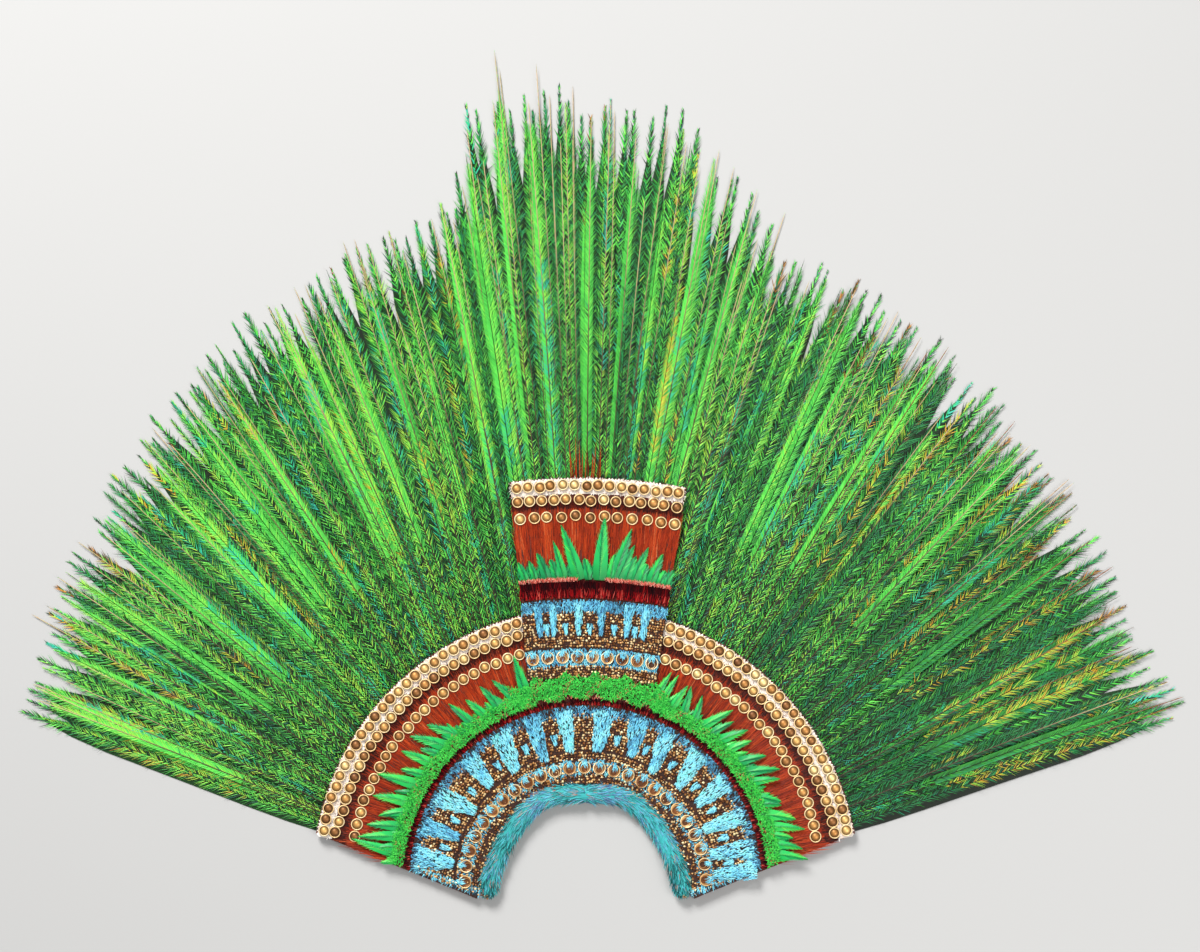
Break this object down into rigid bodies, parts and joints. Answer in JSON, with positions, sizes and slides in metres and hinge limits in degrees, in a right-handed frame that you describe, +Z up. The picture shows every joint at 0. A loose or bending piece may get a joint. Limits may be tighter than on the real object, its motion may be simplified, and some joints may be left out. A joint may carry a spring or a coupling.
{
  "type": "feathered headdress",
  "caption": "Fan-shaped headdress of long green plumes behind a crescent panel with a head opening, with a tablet, gilt disc rows and coloured feather bands, lying flat on its back.",
  "frame": {"origin": "centre of the ground rectangle that the headdress covers, on the surface it lies on", "axes": "+X across the fan, to the right as its front is seen, +Y towards the tips of the middle plumes, +Z up out of its front"},
  "size_m": [1.7822, 1.3066, 0.0242],
  "materials": {
    "plume": "iridescent feather",
    "rust_feather": "matt feather",
    "pale_down": "matt down",
    "gilt": "polished",
    "green_leaf": "satin feather",
    "crimson_feather": "matt feather",
    "turquoise_feather": "satin feather"
  },
  "bodies": {
    "root": {"crescent_panel": "rust_feather", "crescent_rim_left": "pale_down", "crescent_rim_right": "pale_down", "crimson_band_crescent": "pale_down", "crimson_band_tablet": "pale_down", "gilt_discs_outer_left": "gilt", "gilt_discs_outer_right": "gilt", "gilt_discs_second_left": "gilt", "gilt_discs_second_right": "gilt", "gilt_discs_third_left": "gilt", "gilt_discs_third_right": "gilt", "gold_mosaic_crescent": "gilt", "gold_mosaic_tablet": "gilt", "gold_rings_crescent": "gilt", "gold_rings_tablet": "gilt", "green_leaves_left": "green_leaf", "green_leaves_right": "green_leaf", "green_leaves_tablet": "green_leaf", "green_tufts_crown": "green_leaf", "head_opening_roll": "turquoise_feather", "plume_bundle_centre_1": "plume", "plume_bundle_centre_2": "plume", "plume_bundle_centre_3": "plume", "plume_bundle_centre_4": "plume", "plume_bundle_centre_5": "plume", "plume_bundle_left_1": "plume", "plume_bundle_left_2": "plume", "plume_bundle_left_3": "plume", "plume_bundle_left_4": "plume", "plume_bundle_left_5": "plume", "plume_bundle_left_6": "plume", "plume_bundle_left_7": "plume", "plume_bundle_left_8": "plume", "plume_bundle_right_1": "plume", "plume_bundle_right_2": "plume", "plume_bundle_right_3": "plume", "plume_bundle_right_4": "plume", "plume_bundle_right_5": "plume", "plume_bundle_right_6": "plume", "plume_bundle_right_7": "plume", "plume_bundle_right_8": "plume", "tablet_discs_second": "gilt", "tablet_discs_third": "gilt", "tablet_discs_top": "gilt", "tablet_panel": "rust_feather", "tablet_rim": "pale_down", "turquoise_band_crescent": "turquoise_feather", "turquoise_band_tablet": "turquoise_feather", "turquoise_feathers_left": "turquoise_feather", "turquoise_feathers_right": "turquoise_feather", "turquoise_feathers_tablet": "turquoise_feather"}
  },
  "joints": []
}
